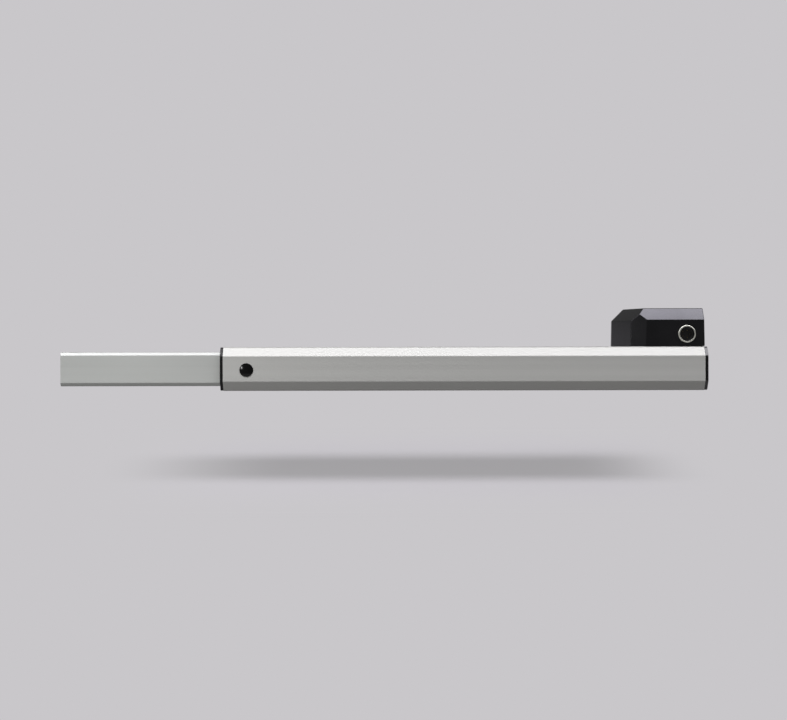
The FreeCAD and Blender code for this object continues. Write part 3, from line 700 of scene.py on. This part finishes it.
def thread_tree():
    """Thread ridge round the X axis at each point: a closed ridge that fades out at both ends."""
    name = "Thread Ridge"
    if name in bpy.data.node_groups:
        return bpy.data.node_groups[name]
    inputs = [
        ("Points", "NodeSocketGeometry", None),
        ("Root Radius", "NodeSocketFloat", 0.003),
        ("Crest Radius", "NodeSocketFloat", 0.0025),
        ("Lead", "NodeSocketFloat", 0.001),
        ("Root Width", "NodeSocketFloat", 0.0009),
        ("Crest Width", "NodeSocketFloat", 0.0002),
        ("Turns", "NodeSocketFloat", 13.0),
        ("Steps", "NodeSocketInt", 300),
        ("Material", "NodeSocketMaterial", None),
    ]
    tree, entry, leave = group_tree(name, "GeometryNodeTree", inputs, [("Thread", "NodeSocketGeometry")])
    strip = node(tree, "GeometryNodeMeshGrid", {
        "Size X": 1.0, "Size Y": 1.0, "Vertices X": entry["Steps"], "Vertices Y": 5}).outputs["Mesh"]
    position = node(tree, "GeometryNodeInputPosition").outputs[0]
    spot = node(tree, "ShaderNodeSeparateXYZ", {0: position}).outputs
    run = maths(tree, "ADD", spot[0], 0.5)
    # Across the strip: near root, near crest, far crest, far root, and the near root again
    side = maths(tree, "ROUND", maths(tree, "MULTIPLY", maths(tree, "ADD", spot[1], 0.5), 4.0))
    corner = maths(tree, "ABSOLUTE", maths(tree, "SUBTRACT", side, 1.5))
    at_crest = maths(tree, "LESS_THAN", corner, 1.0)
    far_side = window(tree, side, 2.5, 0.75, 0.1)
    fade = window(tree, run, 0.5, 0.49, 0.009)
    rise = maths(tree, "MULTIPLY", at_crest, fade)
    gain = maths(tree, "SUBTRACT", entry["Crest Radius"], entry["Root Radius"])
    radius = maths(tree, "MULTIPLY_ADD", gain, rise, entry["Root Radius"])
    narrowing = maths(tree, "SUBTRACT", entry["Crest Width"], entry["Root Width"])
    width = maths(tree, "MULTIPLY_ADD", narrowing, at_crest, entry["Root Width"])
    offset = maths(tree, "MULTIPLY", width, maths(tree, "SUBTRACT", far_side, 0.5))
    wound_turns = maths(tree, "MULTIPLY", run, entry["Turns"])
    angle = maths(tree, "MULTIPLY", wound_turns, FULL_TURN)
    ahead = maths(tree, "MULTIPLY", wound_turns, entry["Lead"])
    at = node(tree, "ShaderNodeCombineXYZ", {
        0: maths(tree, "ADD", ahead, offset),
        1: maths(tree, "MULTIPLY", radius, maths(tree, "COSINE", angle)),
        2: maths(tree, "MULTIPLY", radius, maths(tree, "SINE", angle)),
    }).outputs[0]
    wound = node(tree, "GeometryNodeSetPosition", {"Geometry": strip, "Position": at}).outputs[0]
    closed = node(tree, "GeometryNodeMergeByDistance", {"Geometry": wound, "Distance": MERGE}).outputs[0]
    dress_copies(tree, entry, closed, leave["Thread"])
    return tree


def contact_tree():
    """Round contact sleeves on a circle in the XZ plane, about each point."""
    name = "Contact Ring"
    if name in bpy.data.node_groups:
        return bpy.data.node_groups[name]
    inputs = [
        ("Points", "NodeSocketGeometry", None),
        ("Count", "NodeSocketInt", 5),
        ("Circle Radius", "NodeSocketFloat", 0.004),
        ("Sleeve Radius", "NodeSocketFloat", 0.0007),
        ("Wall", "NodeSocketFloat", 0.00022),
        ("Length", "NodeSocketFloat", 0.0006),
        ("Material", "NodeSocketMaterial", None),
    ]
    tree, entry, leave = group_tree(name, "GeometryNodeTree", inputs, [("Sleeves", "NodeSocketGeometry")])
    circle = node(tree, "GeometryNodeMeshCircle",
                  {"Vertices": entry["Count"], "Radius": entry["Circle Radius"]})
    path = node(tree, "GeometryNodeCurvePrimitiveCircle",
                {"Resolution": 28, "Radius": entry["Sleeve Radius"]})
    wall = node(tree, "GeometryNodeCurvePrimitiveQuadrilateral",
                {"Width": entry["Wall"], "Height": entry["Length"]})
    tube = node(tree, "GeometryNodeCurveToMesh",
                {"Curve": path.outputs["Curve"], "Profile Curve": wall.outputs["Curve"]}).outputs[0]
    ring = node(tree, "GeometryNodeInstanceOnPoints",
                {"Points": circle.outputs["Mesh"], "Instance": tube}).outputs[0]
    upright = node(tree, "GeometryNodeTransform",
                   {"Geometry": node(tree, "GeometryNodeRealizeInstances", {0: ring}).outputs[0],
                    "Rotation": (math.radians(90), 0.0, 0.0)}).outputs[0]
    dress_copies(tree, entry, upright, leave["Sleeves"])
    return tree


def grow(piece, tree, **values):
    """Run a node tree on a piece with its inputs set by their identifiers, and keep the mesh."""
    modifier = piece.modifiers.new(tree.name, "NODES")
    modifier.node_group = tree
    named = {item.name: item.identifier for item in tree.interface.items_tree if item.in_out == "INPUT"}
    for key, value in values.items():
        modifier[named[key.replace("_", " ")]] = value
    settle(piece)
    form = bmesh.new()
    form.from_mesh(piece.data)
    bmesh.ops.recalc_face_normals(form, faces=form.faces)
    form.to_mesh(piece.data)
    form.free()
    return piece


def tapped_threads(name, slot, places, x0, x1):
    """Threads in a set of tapped holes."""
    sizes = bpy.context.scene.actuator_sizes
    pitch = sizes.tapped_pitch
    turns = (x1 - x0) / pitch
    piece = points(name, [(x0, y, z) for y, z in places])
    return grow(piece, thread_tree(), Root_Radius=sizes.tapped_radius + THREAD_SINK,
                Crest_Radius=sizes.tapped_radius - TAPPED_HEIGHT * pitch, Lead=pitch,
                Root_Width=TAPPED_ROOT * pitch, Crest_Width=TAPPED_CREST * pitch,
                Turns=turns, Steps=int(turns * TAPPED_STEPS), Material=finish_for(slot))


def hole_places(half_y, half_z):
    """Places (y, z) of four holes about the X axis."""
    return [(sy * half_y, sz * half_z) for sy in (-1, 1) for sz in (-1, 1)]


def along_x(places, x0, x1):
    """Both ends of a line along X through each place (y, z)."""
    return [((x0, y, z), (x1, y, z)) for y, z in places]


# Operators, one for each piece or group of like pieces

class ACTUATOR_OT_column(Operator):
    """Softened column extrusion."""

    bl_idname = "actuator.column"
    bl_label = "Column"

    def execute(self, context):
        edge = context.scene.actuator_sizes.cut_edge
        tube = soften(plain_copy("outer_tube", "column_tube"), edge)
        show(tube, "column", "column_aluminium", "outer_tube")
        return {"FINISHED"}


class ACTUATOR_OT_ram(Operator):
    """Softened ram tube, and its end plug with four tapped holes."""

    bl_idname = "actuator.ram"
    bl_label = "Ram"

    def execute(self, context):
        sizes = context.scene.actuator_sizes
        tube = soften(plain_copy("inner_tube", "ram_tube"), sizes.cut_edge)
        show(tube, "ram", "ram_aluminium", "inner_tube")
        holes = hole_places(*RAM_HOLES)
        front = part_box("end_plug")[0].x
        floor = front + RAM_HOLE_DEPTH
        drilled = along_x(holes, front - DRILL_OVERRUN, floor)
        plug = bore(plain_copy("end_plug", "ram_plug"), drilled, sizes.tapped_radius)
        show(soften(plug, sizes.cast_edge), "ram", "cast_aluminium", "end_plug")
        threads = tapped_threads("ram_threads", "cast_aluminium", holes,
                                 front + THREAD_INSET, floor - THREAD_SHORT)
        show(threads, "ram", "cast_aluminium")
        return {"FINISHED"}


class ACTUATOR_OT_collar(Operator):
    """Front bush with its collar, the wiper and the two pegs."""

    bl_idname = "actuator.collar"
    bl_label = "Front collar"

    def execute(self, context):
        edge = context.scene.actuator_sizes.moulded_edge
        collar = soften(plain_copy("front_bush", "front_collar"), edge)
        show(collar, "column", "black_plastic", "front_bush", finish="collar_plastic")
        wiper = soften(plain_copy("wiper_seal", "ram_wiper"), edge)
        show(wiper, "column", "black_rubber", "wiper_seal")
        pegs = soften(plain_copy("bush_pegs", "collar_pegs"), edge, segments=3)
        show(pegs, "column", "black_plastic", "bush_pegs", finish="peg_plastic")
        return {"FINISHED"}


class ACTUATOR_OT_rear(Operator):
    """Rear cap, and the block behind it with its tapped mounting holes."""

    bl_idname = "actuator.rear"
    bl_label = "Rear cap"

    def execute(self, context):
        sizes = context.scene.actuator_sizes
        cap = soften(plain_copy("rear_cap", "end_cap"), sizes.moulded_edge / 2)
        show(cap, "column", "black_plastic", "rear_cap")
        holes = hole_places(*MOUNT_HOLES)
        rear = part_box("bearing_block")[1].x
        floor = rear - MOUNT_HOLE_DEPTH
        drilled = along_x(holes, floor, rear + DRILL_OVERRUN)
        block = bore(plain_copy("bearing_block", "mount_block"), drilled, sizes.tapped_radius)
        show(soften(block, sizes.cast_edge), "column", "cast_aluminium", "bearing_block")
        threads = tapped_threads("mount_threads", "cast_aluminium", holes,
                                 floor + THREAD_SHORT, rear - THREAD_INSET)
        show(threads, "column", "cast_aluminium")
        return {"FINISHED"}


class ACTUATOR_OT_cover(Operator):
    """Faceted motor cover, its gasket and its screws; the black gasket also paints the thin shade line
    along the cover's base.
    """

    bl_idname = "actuator.cover"
    bl_label = "Motor cover"

    def execute(self, context):
        edge = context.scene.actuator_sizes.moulded_edge
        cover = soften(plain_copy("motor_cover", "drive_cover"), edge, limit=30.0)
        show(cover, "column", "cover_plastic", "motor_cover")
        # The black gasket is partly a real seal and partly a painted shade line where the cover meets the
        # column
        seal_and_shade_line = soften(plain_copy("cover_gasket", "cover_seal"), edge)
        show(seal_and_shade_line, "column", "black_rubber", "cover_gasket")
        bolts = soften(plain_copy("cover_screws", "cover_bolts"), edge)
        show(bolts, "column", "steel", "cover_screws")
        return {"FINISHED"}


class ACTUATOR_OT_socket(Operator):
    """Power socket: bright ring, insert, contact sleeves and the black lining of its bore."""

    bl_idname = "actuator.socket"
    bl_label = "Power socket"

    def execute(self, context):
        sizes = context.scene.actuator_sizes
        edge = sizes.moulded_edge
        low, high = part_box("socket_insert")
        middle = Vector(((low.x + high.x) / 2, low.y, (low.z + high.z) / 2))
        shell_low, shell_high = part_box("socket_shell")
        face, back, wall = shell_low.y, shell_high.y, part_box("motor_cover")[0].y
        rim, core_rim = (shell_high.x - shell_low.x) / 2, (high.x - low.x) / 2
        mouth, lip, barrel = sizes.socket_mouth, sizes.ring_lip, sizes.socket_barrel
        quarter = [math.radians(10 * step) for step in range(10)]
        outline = [(rim - lip + lip * math.sin(a), face + lip - lip * math.cos(a)) for a in quarter]
        outline += [(rim, wall), (barrel, wall), (barrel, back), (core_rim, back), (core_rim, low.y),
                    (mouth, low.y), (mouth, face)]
        ring = sleeve("socket_ring", middle, outline)
        show(soften(ring, edge), "column", "socket_metal", "socket_shell")
        inwards = Vector((0, 1, 0))
        holes = []
        for angle in circle_angles(sizes.contacts):
            spot = middle + sizes.contact_circle * Vector((math.cos(angle), 0.0, math.sin(angle)))
            holes.append((spot - DRILL_OVERRUN * inwards, spot + CONTACT_DEPTH * inwards))
        core = bore(plain_copy("socket_insert", "socket_core"), holes, sizes.contact_radius, sides=24)
        show(soften(core, edge / 2), "column", "motor_plastic", "socket_insert", finish="socket_plastic")
        spots = points("socket_contacts", [middle + CONTACT_MIDDLE * inwards])
        sleeves = grow(spots, contact_tree(), Count=sizes.contacts, Circle_Radius=sizes.contact_circle,
                       Sleeve_Radius=sizes.contact_radius - CONTACT_INSET,
                       Material=finish_for("contact_gold"))
        show(sleeves, "column", "brass", finish="contact_gold")
        outside, inside, hole = mouth - LINING_GAP, sizes.socket_bore, core_rim - LINING_LAP
        front, seat, floor = face + LINING_RECESS, low.y - LINING_FLOOR, low.y + LINING_SINK
        lining = sleeve("socket_lining", middle, [(outside, front), (inside, front), (inside, seat),
                                                  (hole, seat), (hole, floor), (outside, floor)])
        show(soften(lining, LINING_EDGE), "column", "motor_plastic", finish="socket_plastic")
        return {"FINISHED"}


class ACTUATOR_OT_drive(Operator):
    """Threaded lead screw, and finishes for the parts that stay as they are."""

    bl_idname = "actuator.drive"
    bl_label = "Drive"

    def execute(self, context):
        sizes = context.scene.actuator_sizes
        low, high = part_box("lead_screw")
        radius = high.z
        root = radius - sizes.lead_depth
        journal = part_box("bearing_spacer")[1].z - SPACER_WALL
        shoulder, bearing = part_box("screw_support")[1].x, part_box("bearing_inner_ring")[0].x
        land, chamfer = bearing - SCREW_LAND, SCREW_CHAMFER
        core = turned("lead_screw_core", [
            (low.x, journal - chamfer), (low.x + chamfer, journal), (shoulder, journal),
            (shoulder, root - chamfer), (shoulder + chamfer, root),
            (land, root), (land, radius - chamfer),
            (land + chamfer, radius), (bearing, radius), (bearing, journal),
            (high.x - chamfer, journal), (high.x, journal - chamfer)])
        show(soften(core, SCREW_EDGE), "spindle", "steel", "lead_screw")
        pitch = sizes.lead_pitch
        lead = LEAD_STARTS * pitch
        starts = [shoulder + SCREW_RUN_OUT + index * pitch for index in range(LEAD_STARTS)]
        turns = (land - SCREW_RUN_OUT - starts[-1]) / lead
        ridge = points("lead_screw_thread", [(x, 0, 0) for x in starts])
        grow(ridge, thread_tree(), Root_Radius=root - THREAD_SINK, Crest_Radius=radius, Lead=lead,
             Root_Width=LEAD_ROOT * pitch, Crest_Width=LEAD_CREST * pitch,
             Turns=turns, Steps=int(turns * LEAD_STEPS), Material=finish_for("steel"))
        show(ridge, "spindle", "steel")
        for part in frame["record"]["subparts"]:
            solid = frame["nodes"][part["node"]]
            for place in solid.material_slots:
                place.material = finish_for(part["material_slot"])
        return {"FINISHED"}


class ACTUATOR_OT_stage(Operator):
    """Floor, light and camera."""

    bl_idname = "actuator.stage"
    bl_label = "Stage"

    def execute(self, context):
        studio = context.scene.actuator_studio
        stage_floor(studio)
        stage_light(context.scene, studio)
        stage_lamp("side_lamp", studio.side_lamp, studio.side_lamp_place, *SIDE_LAMP_SIZE)
        stage_lamp("spark_lamp", studio.spark_lamp, studio.spark_lamp_place, *SPARK_LAMP_SIZE)
        stage_camera(context.scene, studio)
        context.scene.view_settings.view_transform = "Standard"
        return {"FINISHED"}


def stage_floor(studio):
    """Pale floor that takes the shadow near the object and fades into the background."""
    form = bmesh.new()
    bmesh.ops.create_circle(form, cap_ends=True, segments=96, radius=FLOOR_RADIUS)
    middle = (CAD_BOX[0].x + CAD_BOX[1].x) / 2
    slope = Matrix.Rotation(studio.floor_slope, 4, "X")
    lay = Matrix.Translation((middle, 0.0, -studio.floor_drop)) @ slope
    bmesh.ops.transform(form, matrix=lay, verts=form.verts)
    floor = piece_from(form, "floor")
    floor.data.materials.append(floor_finish(studio))


def floor_finish(studio):
    """Floor that shows the shadow near the object, is plain elsewhere, and is clear from below."""
    finish = bpy.data.materials.new("floor")
    finish.use_nodes = True
    tree = finish.node_tree
    tree.nodes.clear()
    place = node(tree, "ShaderNodeTexCoord").outputs["Object"]
    spot = node(tree, "ShaderNodeSeparateXYZ", {0: place}).outputs
    front_end = remap(tree, spot[0], *SHADOW_FRONT, smooth=True)
    rear_end = remap(tree, spot[0], *SHADOW_REAR, smooth=True)
    across = window(tree, spot[1], *SHADOW_DEPTH)
    near = maths(tree, "MULTIPLY", maths(tree, "MULTIPLY", front_end, rear_end), across)
    near = maths(tree, "MULTIPLY", near, studio.shadow_strength)
    path = node(tree, "ShaderNodeLightPath").outputs
    seen = maths(tree, "MAXIMUM", path["Is Camera Ray"], path["Is Glossy Ray"])
    seen = maths(tree, "MAXIMUM", seen, path["Is Transmission Ray"])
    bounced = rgba(studio.background, studio.bounce_tone)
    tone = blend_colour(tree, seen, bounced, rgba(studio.background, studio.floor_tone))
    lit = node(tree, "ShaderNodeBsdfDiffuse", {"Color": tone})
    plain = node(tree, "ShaderNodeEmission", {"Color": rgba(studio.background), "Strength": 1.0})
    clear = node(tree, "ShaderNodeBsdfTransparent")
    share = maths(tree, "MULTIPLY", maths(tree, "SUBTRACT", 1.0, near), seen)
    top = node(tree, "ShaderNodeMixShader", {0: share, 1: lit.outputs[0], 2: plain.outputs[0]})
    under = node(tree, "ShaderNodeNewGeometry").outputs["Backfacing"]
    both = node(tree, "ShaderNodeMixShader", {0: under, 1: top.outputs[0], 2: clear.outputs[0]})
    node(tree, "ShaderNodeOutputMaterial", {"Surface": both.outputs[0]})
    return finish


def stage_light(scene, studio):
    """Room of light: a long ceiling light over the front, a pale backdrop, and soft fill."""
    world = bpy.data.worlds.new("studio")
    world.use_nodes = True
    scene.world = world
    tree = world.node_tree
    tree.nodes.clear()
    direction = node(tree, "ShaderNodeTexCoord").outputs["Generated"]
    way = node(tree, "ShaderNodeSeparateXYZ", {0: direction}).outputs
    height = maths(tree, "MAXIMUM", way[2], 0.02)
    over = remap(tree, way[2], *CEILING_RISE, smooth=True)
    across = window(tree, maths(tree, "DIVIDE", way[0], height), *CEILING_ACROSS)
    depth = window(tree, maths(tree, "DIVIDE", way[1], height), *CEILING_DEPTH)
    ceiling = maths(tree, "MULTIPLY", maths(tree, "MULTIPLY", across, depth), over)
    # The backdrop is low and behind the object
    low = remap(tree, way[2], *BACKDROP_TOP, 1.0, 0.0, smooth=True)
    behind = maths(tree, "MULTIPLY", remap(tree, way[1], *BACKDROP_BACK, smooth=True), low)
    backdrop = maths(tree, "MULTIPLY", behind, window(tree, way[0], *BACKDROP_ACROSS))
    # The room in front is brighter on its left, but for the far end
    left, right = FILL_LEFT * studio.front_light, FILL_RIGHT * studio.front_light
    front = remap(tree, way[0], -0.5, 0.5, left, right)
    front = maths(tree, "MULTIPLY", front, remap(tree, way[0], -0.95, -0.6, FILL_FAR_LEFT, 1.0))
    room = remap(tree, backdrop, 0.0, 1.0, front, studio.back_light)
    path = node(tree, "ShaderNodeLightPath").outputs
    direct = maths(tree, "MAXIMUM", path["Is Camera Ray"], path["Is Transmission Ray"])
    mirrored = maths(tree, "MULTIPLY", path["Is Glossy Ray"], backdrop)
    seen = maths(tree, "MAXIMUM", direct, mirrored)
    fill = node(tree, "ShaderNodeBackground", {"Color": FILL_COLOUR, "Strength": room})
    plain = node(tree, "ShaderNodeBackground", {"Color": rgba(studio.background), "Strength": 1.0})
    shown = node(tree, "ShaderNodeMixShader", {0: seen, 1: fill.outputs[0], 2: plain.outputs[0]})
    level = maths(tree, "MULTIPLY", ceiling, studio.box_light)
    level = maths(tree, "MULTIPLY", level, maths(tree, "SUBTRACT", 1.0, direct))
    boxes = node(tree, "ShaderNodeBackground", {"Color": CEILING_COLOUR, "Strength": level})
    lit = node(tree, "ShaderNodeAddShader", {0: shown.outputs[0], 1: boxes.outputs[0]})
    node(tree, "ShaderNodeOutputWorld", {"Surface": lit.outputs[0]})


def stage_lamp(name, power, place, width, height):
    """Upright lamp on the left that points at the front collar."""
    light = bpy.data.lights.new(name, "AREA")
    light.shape = "RECTANGLE"
    light.size = width
    light.size_y = height
    light.energy = power
    lamp = bpy.data.objects.new(name, light)
    lamp.location = place
    low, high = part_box("front_bush")
    lamp.rotation_euler = ((low + high) / 2 - lamp.location).to_track_quat("-Z", "Y").to_euler()
    lamp.visible_camera = False
    bpy.context.scene.collection.objects.link(lamp)


def stage_camera(scene, studio):
    """Level camera that looks along Y."""
    lens = bpy.data.cameras.new("camera")
    lens.lens = studio.focal_length
    lens.sensor_width = 36.0
    lens.clip_start = 0.01
    lens.clip_end = 100.0
    camera = bpy.data.objects.new("camera", lens)
    camera.location = studio.camera_place
    camera.rotation_euler = (math.radians(90), studio.camera_roll, 0.0)
    scene.collection.objects.link(camera)
    scene.camera = camera


class ACTUATOR_PT_sidebar(Panel):
    """Sizes, finishes and operators of the actuator."""

    bl_idname = "ACTUATOR_PT_sidebar"
    bl_label = "Linear actuator"
    bl_space_type = "VIEW_3D"
    bl_region_type = "UI"
    bl_category = "Actuator"

    def draw(self, context):
        for group in ("actuator_sizes", "actuator_finishes", "actuator_studio"):
            values = getattr(context.scene, group)
            column = self.layout.column(align=True)
            for key in values.__annotations__:
                column.prop(values, key)
        for operator in OPERATORS:
            self.layout.operator(operator.bl_idname)


OPERATORS = (
    ACTUATOR_OT_column,
    ACTUATOR_OT_ram,
    ACTUATOR_OT_collar,
    ACTUATOR_OT_rear,
    ACTUATOR_OT_cover,
    ACTUATOR_OT_socket,
    ACTUATOR_OT_drive,
    ACTUATOR_OT_stage,
)
GROUPS = (ActuatorSizes, ActuatorFinishes, ActuatorStudio)


def register():
    for group in GROUPS + OPERATORS + (ACTUATOR_PT_sidebar,):
        bpy.utils.register_class(group)
    bpy.types.Scene.actuator_sizes = PointerProperty(type=ActuatorSizes)
    bpy.types.Scene.actuator_finishes = PointerProperty(type=ActuatorFinishes)
    bpy.types.Scene.actuator_studio = PointerProperty(type=ActuatorStudio)


def unregister():
    del bpy.types.Scene.actuator_studio
    del bpy.types.Scene.actuator_finishes
    del bpy.types.Scene.actuator_sizes
    for group in reversed(GROUPS + OPERATORS + (ACTUATOR_PT_sidebar,)):
        bpy.utils.unregister_class(group)


def main():
    register()
    bpy.ops.actuator.column()
    bpy.ops.actuator.ram()
    bpy.ops.actuator.collar()
    bpy.ops.actuator.rear()
    bpy.ops.actuator.cover()
    bpy.ops.actuator.socket()
    bpy.ops.actuator.drive()
    bpy.ops.actuator.stage()


if __name__ == "__main__":
    main()
